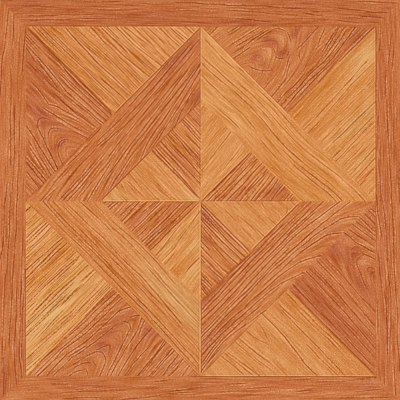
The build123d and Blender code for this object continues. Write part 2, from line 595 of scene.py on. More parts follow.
lay_band(
    "upper_right", falling, 0.73, {"outer_start": 0.3, "start": 0.2, "inner_end": 0.15},
    wave=(1.3, 90, -20), slope=0.02, rosy=-5, pressure=0.78, veins=0.15,
    lines=[(-86, -4.2, -40, -3.4, -0.34), (-55, -0.4, -43, -0.9, -0.28), (-44, -4.2, -4, -3.7, -0.24),
           (-8, -3.8, 30, -3.1, -0.26), (26, -3.2, 50, -2.3, -0.22), (-44, -10, 6, -10, -0.26),
           (2, -10, 32, -8.8, -0.24), (28, -9, 92, -5.6, -0.36, -0.2), (-81, -14.6, -46, -12.6, -0.3),
           (-64, -13.2, -2, -13.4, -0.42), (-6, -13.4, 34, -13, -0.24), (30, -13, 66, -11.2, -0.2),
           (-78, -17.9, -44, -16.9, -0.36), (-42, -17.2, 2, -17.9, -0.42), (-2, -18, 16, -18.1, -0.3),
           (8, -18.1, 40, -16.9, -0.42), (36, -17, 66, -16, -0.22), (14, -21, 80, -18.8, -0.34),
           (24, -23, 50, -23.4, -0.24), (42, -23.3, 79, -22.2, -0.38), (-69, -23.8, -36, -25.8, -0.28),
           (-40, -25.6, -6, -26.9, -0.26), (-54, -25.7, -8, -27.6, 0.24), (-3, -29.2, 21, -28.8, -0.24),
           (-41, -35.2, -17, -35.3, -0.34), (-36, -37, -17, -37.3, -0.22)],
    stains=[(-60, -2.5, 36, 3, 0.08), (-40, -32, 26, 7, 0.07), (-25, -8, 20, 3, 0.06),
            (45, -30, 50, 10, -0.08), (50, -14, 40, 6, -0.07), (0, -19, 70, 2.5, -0.08),
            (-42, -13, 14, 4, 0.06)],
)
lay_band(
    "lower_left", falling, 0.64, {"outer_start": -0.1, "outer_end": 0.15, "end": 0.6},
    rosy=-2, slope=-0.01, pressure=0.78, veins=0.2,
    lines=[(-57, 35.6, -36, 35.3, -0.2), (-40, 35.2, -8, 37.9, -0.26), (-14, 37.8, 14, 37.6, -0.3, 0.2),
           (10, 37.7, 32, 35.8, -0.22), (-40, 31.8, -18, 32.9, -0.26), (-24, 32.8, 10, 32.9, -0.38, 0.2),
           (6, 32.8, 26, 31, -0.34), (20, 31.3, 66, 30.4, -0.22), (-68, 28.4, -46, 29.8, -0.32, 0.2),
           (-50, 29.8, -30, 29.6, -0.28), (6, 30.2, 44, 28, -0.36), (38, 28.3, 67, 26.8, -0.34),
           (-80, 21, -46, 21.1, -0.22), (-50, 21, -30, 21.5, -0.32), (-36, 21.5, -14, 20.8, -0.38),
           (-19, 20.8, 8, 21.3, -0.36), (3, 21.3, 30, 20.6, -0.42, 0.4), (25, 20.8, 58, 17.8, -0.36),
           (2, 22.6, 22, 22.3, 0.2), (-74, 17.5, -20, 17.7, -0.24, -0.4), (-24, 17.8, 34, 17.9, -0.26),
           (28, 18, 84, 12.7, -0.28), (-50, 14, -28, 13.8, -0.32), (-20, 15, -1, 15.3, -0.3),
           (10, 14.4, 46, 13.5, -0.26), (-85, 11.8, -54, 10.5, -0.34), (-60, 10.6, -14, 10.5, -0.46),
           (-20, 10.5, 14, 10.6, -0.4), (-90, 10, -64, 8.2, -0.38), (-70, 8.2, -14, 8.3, -0.34),
           (-20, 8.3, 28, 7.8, -0.34), (22, 8, 90, 5.3, -0.36), (-65, 4.7, -14, 4.6, -0.3, 0.2),
           (-20, 4.5, 30, 5, -0.34), (24, 5, 64, 3.2, -0.42), (58, 3.4, 90, 2.4, -0.38)],
    blond=[(48, 30, 42, 10, 1.0)],
    stains=[(45, 30, 40, 9, 0.2), (0, 27, 50, 6, 0.05), (-20, 12, 60, 5, -0.06), (20, 5, 60, 4, -0.06),
            (5, 39.5, 22, 1.5, 0.12), (-24, 14, 7, 3, -0.1), (25, 22, 16, 2.5, -0.06),
            (-70, 4, 16, 4, -0.06)],
)
lay_band(
    "lower_right", rising, 0.515, {"outer_start": -0.1, "inner_end": -0.4, "start": -0.25},
    heart=Heart(points=1, base=5, reach=80, axis=-0.5, taper=0.25, roundness=7, spread=29), pressure=1.45,
    lines=[(-63, 35.3, -24, 37, -0.26), (-30, 37, 34, 36.9, -0.26), (-66, 32.7, -24, 34.5, -0.3),
           (-30, 34.3, 46, 34.5, -0.3), (-68, 29.9, -36, 29.9, -0.34), (-42, 29.9, -12, 31, -0.38),
           (-16, 31, 14, 30.6, -0.42), (8, 30.6, 56, 30.6, -0.32), (-73, 26.2, -46, 26.9, -0.38),
           (-50, 26.6, -14, 28, -0.4), (-20, 27.8, 34, 28, -0.4), (28, 28, 56, 26.2, -0.36),
           (26, 29.1, 72, 27.7, -0.3), (-77, 21.7, -36, 23.2, -0.34), (-42, 22.9, -2, 24.6, -0.38),
           (-8, 24.5, 30, 24.4, -0.44), (24, 24.5, 60, 21.5, -0.44, 0.3), (54, 22.2, 80, 18.6, -0.44),
           (-78, 20, -26, 21.8, -0.34), (-34, 21.4, 24, 21, -0.28), (-82, 16.7, -46, 18.7, -0.34),
           (-52, 18.4, 4, 20, -0.32), (-4, 19.9, 46, 17.6, -0.3), (40, 18.1, 84, 13.4, -0.28, 0.2),
           (-83, 14.6, -64, 17, -0.3), (-85, 12.6, -56, 14.2, -0.34), (-62, 14.1, -30, 12.8, -0.34, 0.4),
           (-90, 9.8, -55, 10.8, -0.38, 0.3), (-60, 10.8, -18, 9.3, -0.38), (-24, 9.6, 2, 6.4, -0.4, 0.3),
           (-4, 7.4, 20, -1, -0.42, 0.6), (-34, 13.7, 2, 11.6, -0.3), (-4, 12.2, 24, 7.6, -0.36, 0.3),
           (18, 8.7, 38, -1.4, -0.42, 0.9), (-14, 15.2, 30, 12.6, -0.26), (24, 13.2, 52, 8, -0.4, 0.4),
           (46, 9.8, 61.5, -1.5, -0.42, 1.1), (-4, 18.3, 44, 14.6, -0.26), (38, 15.3, 68, 9, -0.4, 0.4),
           (60, 11.3, 78, -1, -0.44, 1.8), (-97, 0.6, -62, 6.1, -0.36, 0.8), (-66, 6, -40, 3, -0.34, 0.6),
           (-46, 3.6, -22, 0, -0.34), (-93, 3.4, -60, 8.1, -0.34, 0.6), (-66, 8, -22, 5.2, -0.3, 0.4),
           (-95, 1.6, -66, 4.2, -0.34, 0.5), (-88, 6.2, -62, 9.4, -0.32, 0.4)],
    stains=[(-47, 38, 18, 3.5, -0.06), (20, 38, 30, 2, -0.14), (-40, 14, 22, 6, -0.2),
            (62, 18, 18, 8, 0.08), (0, 4, 14, 2.5, 0.1), (-84, 8, 12, 4, -0.14), (-66, 22, 10, 3, -0.08),
            (22, 23, 10, 3, 0.08), (45, 34, 16, 2.5, 0.08)],
    russet=[(-46, 38, 20, 3.5, 0.7), (-66, 14, 14, 4, 0.5), (-5, 36, 12, 3, 0.4), (55, 8, 12, 3.5, 0.45)],
)

# The corner strips: two for each quarter, filling the corner outside the band. Their grain runs square to
# the band, and they meet on the line from the field's corner to the band's middle.
up_left = Vector((-1, 1)).normalized()
up_right = Vector((1, 1)).normalized()


def lay_corner(quarter, side, grain, tone, seams, **drawing):
    """Lays the corner strip on one side of a quarter's diagonal; side is a direction along the band."""
    joint = joints[quarter]
    outward = joint.normalized()
    along = math.copysign(joint_reach, outward.x)
    across = math.copysign(joint_reach, side.y)
    edges = {"band": (0, 0, 0, across), "mate": (0, 0, along, 0), "border": (along, 0, 0, across)}
    seams = seam_lines(edges, seams, Vector((along, across)) / 3)
    finish = wood_print("corner_" + quarter, joint, grain, tone, seams=seams, **drawing)
    lay(finish, joint + (outward + side) * joint_reach / 3)


lay_corner(
    "upper_left", up_right, falling, 0.69, {"band": 0.3, "mate": -0.25, "border": 0.15},
    rosy=-2, slope=0.03, pressure=1.4, veins=0.45,
    lines=[(-90, 5, -66, 4.8, -0.25), (-92, 7.2, -40, 8.6, -0.34), (-48, 8.4, -12, 9.7, -0.38),
           (-80, 11, -58, 10.7, -0.25), (-28, 12.2, -11, 13.5, -0.22), (-81, 16, -66, 16, 0.22),
           (-74, 20.9, 4, 20.9, -0.4, -1.5), (-62, 34.4, -40, 33.5, -0.2), (-30, 33.4, -5, 35, -0.18),
           (-50, 35.8, 3, 39.8, -0.28, -0.6), (-58, 39.6, -24, 40.4, -0.42), (-55, 42.9, -36, 43.3, -0.36),
           (-36, 41.4, 2, 45, -0.18), (-50, 47.4, -24, 48.2, -0.3), (-26, 48, 3, 52, -0.3),
           (-44, 52, -20, 55.2, -0.28), (-14, 54.5, 3, 56.5, -0.22), (-40, 56.9, -12, 58.4, -0.3),
           (-33, 64.4, -9, 65.6, -0.28), (-26, 70.7, 3, 72, -0.36), (-18, 76.4, 2, 78, -0.24),
           (-14, 78.2, 3, 80.2, -0.24), (-12, 85, 3, 86.2, -0.26)],
    stains=[(-25, 80, 60, 20, 0.12), (-34, 53, 26, 7, 0.12), (-70, 4, 26, 7, -0.13), (-80, 14, 16, 8, -0.1),
            (-18, 22, 16, 3.5, -0.12), (-10, 40, 22, 3.5, -0.1), (-55, 32, 10, 4, -0.1),
            (-10, 31, 24, 2.5, 0.08), (-5, 67, 10, 2.5, -0.08), (-20, 3, 30, 5, -0.06)],
)
lay_corner(
    "upper_left", -up_right, falling, 0.435, {"mate": -0.3, "band": -0.1},
    heart=Heart(points=-1, base=4, reach=36, axis=-43, taper=0.42, roundness=5, spread=19),
    rosy=3, pressure=1.3,
    lines=[(-60, -1, -44, -2.6, -0.3), (-50, -2.4, -14, -1.8, -0.3), (-16, -2.2, 4, -0.7, -0.35),
           (-92, -4, -72, -4.4, -0.22), (-50, -5.7, 4, -4.2, -0.38), (-51, -6.8, -30, -7, -0.38),
           (-52, -9, 4, -6.8, -0.22, -0.6), (-86, -9.4, -58, -10.2, -0.4), (-64, -10, -34, -12.9, -0.4),
           (-40, -12.7, 4, -9.8, -0.32, -0.5), (-86, -10.8, -70, -13.2, -0.3),
           (-72, -11.3, -42, -15.6, -0.34), (-40, -15.6, 4, -11.6, -0.24),
           (-44, -20.7, -2, -16.8, -0.3, -0.6), (-38, -21.2, -15, -19.8, -0.3),
           (-41, -30.3, -30, -24.8, -0.42, 0.6), (-34, -26.2, -14, -21, -0.26),
           (-62, -26.8, -38, -30, -0.28, 0.6), (-44, -35.4, -4, -25.2, -0.34),
           (-32, -34.2, -2, -26.6, 0.26), (-8, -36.5, -9, -50, -0.4, -5), (-11, -49, 4, -55, -0.3, -1),
           (-18, -35.5, -20, -50, -0.22, -6.5), (-28, -36, -28, -50, -0.22, -9),
           (-43, -52.6, -28, -56, -0.38), (-32, -55, 4, -62.8, -0.3, -0.5), (-34, -48.2, -12, -55.6, -0.34),
           (-18, -54, 4, -61, -0.4), (-38, -46.6, -8, -56.5, -0.26), (-33, -60, -8, -64.5, -0.3),
           (-14, -63.5, 4, -67, -0.3), (-30, -62.6, 4, -69.4, -0.3), (-24, -61, -2, -66.6, 0.2),
           (-27, -70, 4, -72.2, -0.34), (-25, -72.4, 4, -75, -0.4), (-16, -78, 4, -79.9, -0.26)],
    stains=[(-40, -38, 10, 4, -0.06), (-82, -6, 8, 4, 0.12), (-27, -20, 14, 3, 0.08),
            (-10, -73.2, 14, 1.6, -0.14), (-12, -12, 20, 4.5, 0.14), (-6, -85, 8, 4, 0.08),
            (-54, -25.5, 10, 2, 0.12), (-22, -53, 8, 4, -0.14), (-4, -46, 5, 5, 0.08),
            (-5, -60, 7, 3, -0.1), (-66, -22, 6, 2.5, -0.08), (-13, -45, 2.2, 6, -0.12)],
    russet=[(-60, -18, 20, 4.5, 0.75), (-40, -39, 14, 4.5, 1.1), (-24, -36, 8, 4, 0.6),
            (-13, -45, 2.2, 6, 1.1), (-34, -44, 6, 4, 0.8), (-54, -31, 12, 3, 0.6)],
)
lay_corner(
    "upper_right", up_left, rising, 0.5, {"band": -0.1},
    heart=Heart(points=1, base=0, reach=50, axis=45, taper=0.38, roundness=6, spread=24),
    pressure=1.15, veins=0.3,
    lines=[(-3, 84.6, 12, 85.3, -0.36), (8, 76.4, 25, 73, -0.28), (8, 74.4, 20, 72.6, -0.26),
           (5, 68, 34, 61, -0.42), (5, 65, 34, 57, -0.3), (2, 62.2, 36, 55.2, -0.28),
           (-4, 60, 17, 55.8, -0.42), (17, 60, 35, 55.6, -0.3), (20, 56.4, 38, 52.3, -0.22, 0.8),
           (35, 54, 43.5, 44, -0.3, 2.2), (43.8, 47, 39, 36.5, -0.24, 1.2), (4.4, 48, 16, 31, -0.42, -2),
           (18, 49.5, 27, 43, -0.16, 2.2), (27.3, 45, 23, 37.5, -0.26, 1.5),
           (23.6, 38.6, 30, 31.6, -0.4, -1.6), (28, 32, 36, 35.6, -0.3, -1.6), (-3, 26.4, 20, 28, -0.16),
           (17, 22, 34, 31.4, -0.34), (37, 29.9, 66, 30.6, -0.38), (35.4, 20.5, 41, 28.4, -0.26, 1.4),
           (-2, 18.2, 20, 19.8, -0.26), (15, 19.2, 30, 28, -0.26, -0.8), (30, 14.4, 40, 17.4, -0.26),
           (47, 20.6, 58, 19.4, -0.3), (48, 19, 70, 28, -0.24), (-3, 11.9, 17, 12.4, -0.34),
           (12, 12.2, 34, 13.2, -0.26, -0.8), (0, 8.1, 24, 8.6, -0.46), (18, 8.3, 50, 8.2, -0.4, 1),
           (44, 8, 78, 13.6, -0.4, -0.6), (-4, 5, 34, 6.6, -0.46), (28, 6.6, 56, 6, -0.42, -0.7),
           (50, 5.6, 90, 12, -0.42, -0.6), (14, 3, 46, 3.6, -0.42, 0.6), (42, 3.6, 66, 5.4, -0.32, -0.7),
           (41, 10.6, 78, 20.4, -0.32, -0.4), (50, 14.6, 77, 20.8, -0.4), (45, 9.3, 80, 17, -0.28, -0.3),
           (54, 0.8, 98, 0.8, -0.5)],
    stains=[(22, 42.5, 5, 5, 0.16), (38, 43.5, 4.5, 6, 0.16), (54, 24, 14, 3, 0.12), (24, 18, 14, 4, 0.1),
            (9, 76, 14, 5, 0.18), (21, 7.5, 18, 3, -0.24), (66, 13.5, 16, 2.5, -0.14), (3, 90, 6, 3, 0.1),
            (9, 14.5, 14, 3, 0.14), (34, 57.5, 5, 3, -0.14), (16, 33, 4, 3, -0.12), (50, 14, 6, 3.5, -0.1),
            (34, 28, 9, 3, -0.08)],
    russet=[(28.5, 51.5, 4, 3.5, 1.2), (30.5, 45.5, 2.6, 3.5, 1.1), (28, 37, 3.6, 2.6, 1.0),
            (32, 35, 4, 2.6, 0.9), (45.5, 39, 4, 2.6, 1.3), (50.5, 41, 3.6, 2.4, 1.1),
            (13, 48, 4.5, 3, 0.9), (13, 40, 3, 2.4, 0.6), (51, 32, 6, 2.4, 0.8), (80, 5, 14, 4, 0.9)],
)
lay_corner(
    "upper_right", -up_left, rising, 0.73, {"border": 0.15},
    rosy=-4, slope=0.015, pressure=1.0, veins=0.22,
    lines=[(-3, -17, 11, -17, -0.28), (9, -16.9, 74, -14.2, -0.24), (-3, -21, 14, -20.9, -0.24),
           (18, -20.2, 54, -18, -0.22), (46, -18.3, 76, -18.5, -0.22), (41, -26.1, 64, -28, -0.24),
           (2, -33, 30, -32, -0.16), (6, -35.6, 44, -36, -0.16), (-4, -38.2, 48, -38.8, 0.3),
           (7, -39.3, 56, -40.4, -0.36), (-4, -47.6, 12, -47.3, -0.3), (15, -47.3, 47, -46.9, -0.3),
           (-4, -51.1, 42, -50, -0.28), (8, -52.4, 22, -52.6, -0.2), (0, -57.2, 25, -56.8, -0.2),
           (-4, -66.1, 34, -64.3, -0.26), (0, -71.1, 29, -69.8, -0.26), (-4, -76.9, 8, -76.5, -0.26),
           (5, -75.7, 20, -74.8, -0.26), (-3, -62.8, 30, -62.4, 0.14), (-3, -73.4, 18, -73, 0.14)],
    blond=[(74, -10, 20, 7, 0.9), (34, -41, 22, 7, 0.8), (20, -64, 20, 4, 0.6)],
    stains=[(74, -10, 18, 7, 0.24), (24, -4, 46, 5, -0.2), (25, -64, 20, 2.5, 0.1), (9, -17, 12, 5, -0.07),
            (14, -28, 20, 4, -0.08), (8, -80, 9, 3, -0.08), (32, -41, 22, 2.5, 0.07)],
)
lay_corner(
    "lower_left", up_left, rising, 0.82, {"border": 0.15, "band": 0.1},
    rosy=-2, slope=-0.015, pressure=1.7, veins=0.7, streaky=1.7,
    lines=[(-96, 0.6, -28, 0.6, 0.4), (-34, 0.5, 4, 0.5, -0.24), (-92, 8.6, -38, 7.6, -0.22),
           (-34, 7.4, -6, 7, -0.2), (-76, 16.6, -16, 17.2, 0.22), (-75, 21.7, -34, 20.4, -0.38),
           (-38, 20.5, -12, 19.4, -0.26), (-72, 22.6, -38, 22.5, -0.22), (-73, 24.2, -46, 23.5, 0.3),
           (-70, 25.8, -15, 25, -0.26), (-66, 28.4, 4, 26.4, -0.24), (-62, 33.8, -46, 33.8, 0.24),
           (-61, 35, -47, 35, -0.24), (-56, 38.2, -30, 38.5, -0.28), (-34, 38.4, 3, 35.7, -0.26),
           (-33, 50.7, 4, 49.3, -0.4), (-46, 52, -30, 52, -0.28), (-38, 53, -16, 52.4, -0.28),
           (-42, 57.2, 4, 54, -0.34), (-24, 59.8, 4, 58.8, 0.26), (-25, 66, 4, 66.3, -0.3),
           (-25, 69.4, 4, 69.4, -0.34), (-24, 71.1, 4, 71.1, -0.36), (-23, 70.3, 3, 70.3, 0.3),
           (-22, 73.5, 0, 73.7, -0.22)],
    blond=[(-42, 21, 52, 9, 1.0), (-84, 4, 16, 5, 0.6)],
    stains=[(-20, 45, 34, 3.5, -0.2), (-5, 52, 8, 4, -0.2), (-40, 18, 50, 6, 0.26), (-84, 4, 16, 5, 0.22),
            (-28, 25, 15, 4, 0.13), (-52, 26, 14, 4, 0.08), (-12, 51, 10, 5, -0.06), (-18, 35, 26, 3, 0.12),
            (-50, 31, 12, 3, 0.08), (-40, 55, 8, 4, -0.14), (-10, 61, 12, 3, -0.08),
            (-62, 7, 16, 2.5, -0.12), (-12, 11, 16, 2.5, -0.12), (-14, 4, 22, 3, 0.1),
            (-12, 24.5, 14, 2.5, -0.1), (-6, 86, 8, 4, -0.1)],
)
lay_corner(
    "lower_left", -up_left, rising, 0.5, {"mate": -0.22, "band": -0.1},
    heart=Heart(points=1, base=-80, reach=70, axis=-28, taper=0.3, roundness=4, spread=25),
    rosy=2, pressure=1.42,
    lines=[(-55, -0.9, -34, -2.5, -0.34), (-40, -2.2, -8, -2.4, -0.3), (-14, -2, 4, -4, -0.3),
           (-90, -4, -58, -4, -0.26), (-62, -4, -34, -5.8, -0.26), (-40, -5.6, 4, -6.3, -0.26),
           (-93, -6, -66, -6.5, -0.4), (-70, -6.5, -56, -5.8, -0.36, 0.3), (-60, -5.8, -36, -9.1, -0.4),
           (-42, -9, 4, -10.2, -0.4, 0.3), (-84, -11, -57, -10, -0.3, 0.3), (-61, -10, -38, -14.2, -0.32),
           (-44, -13.7, -6, -14.8, -0.36), (-62, -12.2, -44, -15.8, -0.36),
           (-82, -15, -56, -14.6, -0.26, 0.3), (-60, -14.8, -36, -19, -0.28),
           (-40, -18.6, -16, -20.6, -0.24), (-16, -14.8, 3, -21.5, -0.34, 2),
           (-74, -23, -58, -28.5, -0.34, 1.4), (-58, -26.5, -61, -34, -0.36, 0.9),
           (-66, -21.4, -50.4, -28, -0.3, 1.4), (-50.2, -26, -51.5, -34, -0.28, 0.5),
           (-64, -19.6, -44, -24, -0.3, 0.8), (-47, -22.6, -40, -29, -0.4, 1.2),
           (-40, -27, -44, -36, -0.4, 0.9), (-42, -34.6, -56, -40.2, -0.4),
           (-44, -23.4, -32.4, -28.5, -0.26, 1), (-32, -27, -35, -32, -0.28, 0.5),
           (-13, -21, -10, -28.5, -0.3, 0.6), (-9.6, -26, -14, -31.6, -0.4, 0.9),
           (-12, -30.2, -36, -37.6, -0.42, 0.6), (-31, -36.4, -54, -44, -0.4, 0.4),
           (-8, -23.5, 2, -31, -0.26, 1), (4, -29, -12, -36.6, -0.34), (-8, -35.2, -30, -39.6, -0.3),
           (-26, -39, -50, -45.5, -0.28), (4, -32, -14, -39.6, -0.3), (4, -41.2, -24, -43.6, -0.28),
           (-20, -43, -47, -50, -0.32), (-12, -50.3, -33, -51.2, -0.3), (-29, -51, -44, -54.6, -0.28),
           (4, -55, -14, -58.2, -0.4), (-10, -57.6, -38, -60.4, -0.42), (4, -56.6, -32, -61.4, -0.3),
           (4, -63.7, -32, -66.6, -0.42), (4, -65.7, -31, -67.6, -0.4), (4, -69.7, -14, -71.8, -0.3),
           (-10, -71.2, -27, -75, -0.32), (4, -74.4, -12, -77.4, -0.34), (2, -72.6, -22, -75.4, 0.24),
           (4, -81.5, -14, -84.8, -0.32)],
    stains=[(-80, -2.5, 18, 4, 0.24), (-66, -33, 6, 3, 0.08), (-46, -30, 3.5, 5, 0.12),
            (-46, -44, 14, 4, 0.1), (-6, -84, 10, 4, 0.16), (-7, -77, 12, 4, 0.2),
            (-58, -27, 7, 3.5, -0.14), (-68, -21, 7, 3, -0.08), (-6, -53, 10, 3, 0.1),
            (-30, -54, 8, 3, -0.08), (-6, -64, 10, 3, -0.1), (-12, -3, 14, 3, 0.1),
            (-36, -13, 12, 4, -0.12), (-6, -11, 7, 5, -0.1), (-40, -3, 10, 3, 0.1)],
    russet=[(-22, -21, 20, 4.5, 0.7), (-38, -25, 5, 5, 0.8), (-28, -32, 9, 4, 0.5), (-4, -42, 6, 6, 0.8),
            (-15, -73, 12, 2, 0.4)],
)
lay_corner(
    "lower_right", up_right, falling, 0.44, {"mate": -0.3, "band": 0.1},
    heart=Heart(points=-1, base=48, reach=34, axis=54, taper=0.4, roundness=3, spread=16),
    rosy=4, slope=-0.03, pressure=0.8, veins=0.2,
    lines=[(-3, 85.4, 12, 85.2, -0.42), (-1, 87, 11, 88.4, -0.26), (-3, 81, 17, 81.6, -0.22),
           (-4, 77.2, 14, 76.5, -0.42), (10, 76.4, 22, 77.8, -0.36), (0, 75.5, 20, 75.7, 0.2),
           (-4, 72, 24, 76, -0.26), (-4, 68.5, 25, 73, -0.38), (-4, 63.4, 27, 69, -0.28),
           (-4, 59.7, 14, 61.4, -0.36), (10, 60.9, 31, 66.5, -0.42), (18, 57.6, 34, 62.6, -0.36, 0.6),
           (24, 60, 24, 49, -0.2, -2.5), (20, 61, 16, 50.6, -0.2, -5), (43, 58.6, 43, 49.4, -0.26, -11),
           (20, 52, 45, 42, -0.24, -0.8), (19, 47.2, 25, 46.4, -0.26), (2, 36.7, 28, 36.3, -0.26, 0.4),
           (24, 36.4, 42, 34.6, -0.26), (37, 34.7, 63, 35, -0.34), (-4, 30.9, 30, 29.9, -0.42),
           (26, 30, 70, 26, -0.34, 0.4), (-4, 25.4, 34, 23.6, -0.32, -0.4), (28, 23.8, 75, 20.5, -0.4),
           (-2, 22, 24, 22.6, -0.26), (-4, 19.4, 50, 16.9, -0.38, 0.2), (44, 17.2, 82, 14.2, -0.32),
           (0, 12.6, 24, 12, -0.22), (29, 13.4, 42, 13.9, -0.3), (26, 12, 86, 9.3, -0.26),
           (-4, 5, 62, 4.3, -0.28), (56, 4.4, 86, 3.8, -0.24)],
    stains=[(8, 46, 12, 6, -0.06), (36, 42, 12, 4, -0.06), (16, 23, 24, 1.4, -0.12),
            (17, 54.5, 5, 3.5, -0.12), (37, 54, 5, 3, -0.16), (27, 55.5, 4, 3, 0.16), (25, 53, 2.6, 3, 0.1),
            (20, 27, 50, 3.5, 0.08), (9, 60, 10, 2.5, -0.14), (10, 67, 10, 2, 0.1), (6, 36, 10, 2, -0.1)],
    russet=[(20, 9, 60, 9, 0.55), (6, 48, 14, 6, 1.0), (38, 42, 14, 4.5, 0.9), (36, 54, 5, 3, 0.7),
            (17, 54.5, 5, 3.5, 0.7)],
)
lay_corner(
    "lower_right", -up_right, falling, 0.67, {"mate": -0.15, "band": 0.1, "border": 0.3},
    rosy=-4, veins=0.12,
    lines=[(1, -13, 24, -12.5, -0.3), (0, -3.3, 15, -3.3, -0.3), (16, -3.3, 64, -2.8, -0.26),
           (16, -6.1, 60, -5.1, -0.22), (6, -14.4, 20, -14.7, -0.4), (16, -14.8, 80, -16, -0.26),
           (38, -19.9, 62, -20.6, -0.3), (56, -20.5, 77, -19.9, -0.26), (5, -23.2, 17, -21.8, -0.2),
           (-4, -27.4, 18, -27.1, -0.38), (12, -27, 52, -31.2, -0.36, 0.3),
           (46, -30.8, 68, -30.9, -0.34, -0.4), (10, -28.4, 44, -31.2, 0.22),
           (-2, -34.8, 20, -40, -0.14, 1.6), (20, -39.6, -2, -44.6, -0.16, 1.8),
           (-4, -53.7, 34, -49.6, -0.36, -0.2), (-3, -52.4, 30, -48.6, 0.2), (-4, -57.4, 18, -55.8, -0.22),
           (14, -56.2, 47, -51.6, -0.22), (10, -57.9, 31, -55.2, -0.22), (0, -67.4, 37, -61.8, -0.24),
           (-4, -69.3, 29, -65.6, -0.28), (-4, -72.9, 12, -70.8, -0.28), (8, -71.4, 25, -69.4, -0.22)],
    stains=[(4, -37, 7, 3, 0.08), (14, -22.5, 24, 4, 0.1), (60, -26.5, 18, 3.5, 0.1),
            (26, -36, 30, 3.5, -0.08), (25, -51, 26, 6, 0.12), (12, -78, 20, 8, 0.08),
            (30, -7, 60, 8, -0.07), (12, -40, 7, 2.5, -0.1), (45, -22, 18, 3, -0.06)],
)

# The inner strips: two for each quarter, filling the point inside the band, pale beside dark, so that
# eight points meet in a star at the middle of the tile.
def lay_inner(quarter, side, grain, tone, seams, **drawing):
    """Lays the inner strip on one side of a quarter's diagonal; side is a direction along the band."""
    joint = joints[quarter]
    inward = -joint.normalized()
    start = math.copysign(band_width, inward.x)
    end = math.copysign(joint_reach, inward.x)
    across = math.copysign(inner_reach, side.y)
    edges = {"band": (start, 0, start, across), "mate": (start, 0, end, 0), "next": (end, 0, start, across)}
    seams = seam_lines(edges, seams, Vector(((2 * start + end) / 3, across / 3)))
    finish = wood_print("inner_" + quarter, joint, grain, tone, seams=seams, **drawing)
    lay(finish, joint + inward * (band_width + inner_reach / 3) + side * inner_reach / 3)


lay_inner(
    "upper_left", up_right, falling, 0.60, {"mate": -0.1, "next": -0.1},
    rosy=-2, slope=-0.04, pressure=1.35, veins=0.45,
    lines=[(36, 36.7, 59, 36.1, -0.46), (37, 35.6, 58, 35.2, 0.28), (36, 34.4, 64, 33.5, -0.4),
           (38, 33, 66, 31.7, -0.46), (48, 28.3, 61, 28, -0.3), (62, 27.9, 70, 27.6, -0.3),
           (60, 25, 70, 23.8, -0.24), (36, 21.8, 56, 20.6, -0.42), (50, 21, 80, 17.9, -0.46),
           (37, 18.6, 52, 17.8, -0.26), (64, 18.3, 82, 16.2, -0.3), (36, 16.5, 60, 14.8, -0.36),
           (54, 15.4, 85, 13.5, -0.4), (36, 11, 54, 10.1, -0.34), (50, 10.2, 88, 8.8, -0.24),
           (36, 4.3, 62, 3, -0.46), (56, 3.3, 94, 0.6, -0.42), (36, 5.2, 80, 3.4, 0.26),
           (36, 1.9, 66, 0.9, -0.34), (60, 1.2, 92, 0.2, -0.3)],
    stains=[(58, 18, 30, 3.5, -0.16), (52, 3, 12, 2, -0.14), (58, 9, 30, 2.5, 0.08), (55, 26, 20, 2.5, 0.1),
            (46, 43, 12, 6, 0.14), (90, 2, 8, 4, 0.2)],
    russet=[(46, 43, 8, 6, 0.5), (70, 22, 10, 3, 0.5), (60, 9, 20, 4, 0.4)],
)
lay_inner(
    "upper_left", -up_right, falling, 0.70, {"band": 0.1, "mate": 0.15, "next": 0.3},
    rosy=-3, veins=0.2,
    lines=[(41, -1.8, 61, -0.9, 0.2), (57, -14.2, 82, -12.8, -0.18), (57, -15.4, 84, -14.9, -0.16),
           (62, -16.7, 73, -15.9, -0.2), (36, -22.2, 58, -24.9, -0.2, -0.4), (41, -28.3, 65, -28.3, -0.24),
           (43, -29.8, 55, -30.6, -0.18), (39, -32.6, 48, -35, -0.24)],
    blond=[(46, -43, 8, 6, 0.8), (86, -4, 9, 4, 0.6)],
    stains=[(46, -43, 8, 6, 0.1), (60, -3, 30, 2.5, 0.1), (86, -4, 9, 4, 0.2), (50, -15, 20, 4, -0.07),
            (50, -24, 12, 2, -0.07), (46, -34, 8, 2, -0.07)],
)
lay_inner(
    "upper_right", up_left, rising, 0.71, {"mate": 0.35, "next": 0.1},
    rosy=-5, slope=0.12, pressure=0.85, veins=0.15,
    lines=[(-95, 2.4, -68, 7.9, 0.18), (-80, 15, -56, 19.4, -0.22), (-60, 18.8, -36, 21.6, -0.28),
           (-68, 4.4, -44, 7.6, -0.22), (-56, 7.6, -36, 10, 0.24), (-65, 2, -38, 4.3, -0.2)],
    stains=[(-48, 37, 12, 2.5, -0.08), (-72, 18, 14, 4, -0.06), (-50, 10, 30, 6, 0.06),
            (-85, 8, 8, 4, 0.06)],
)
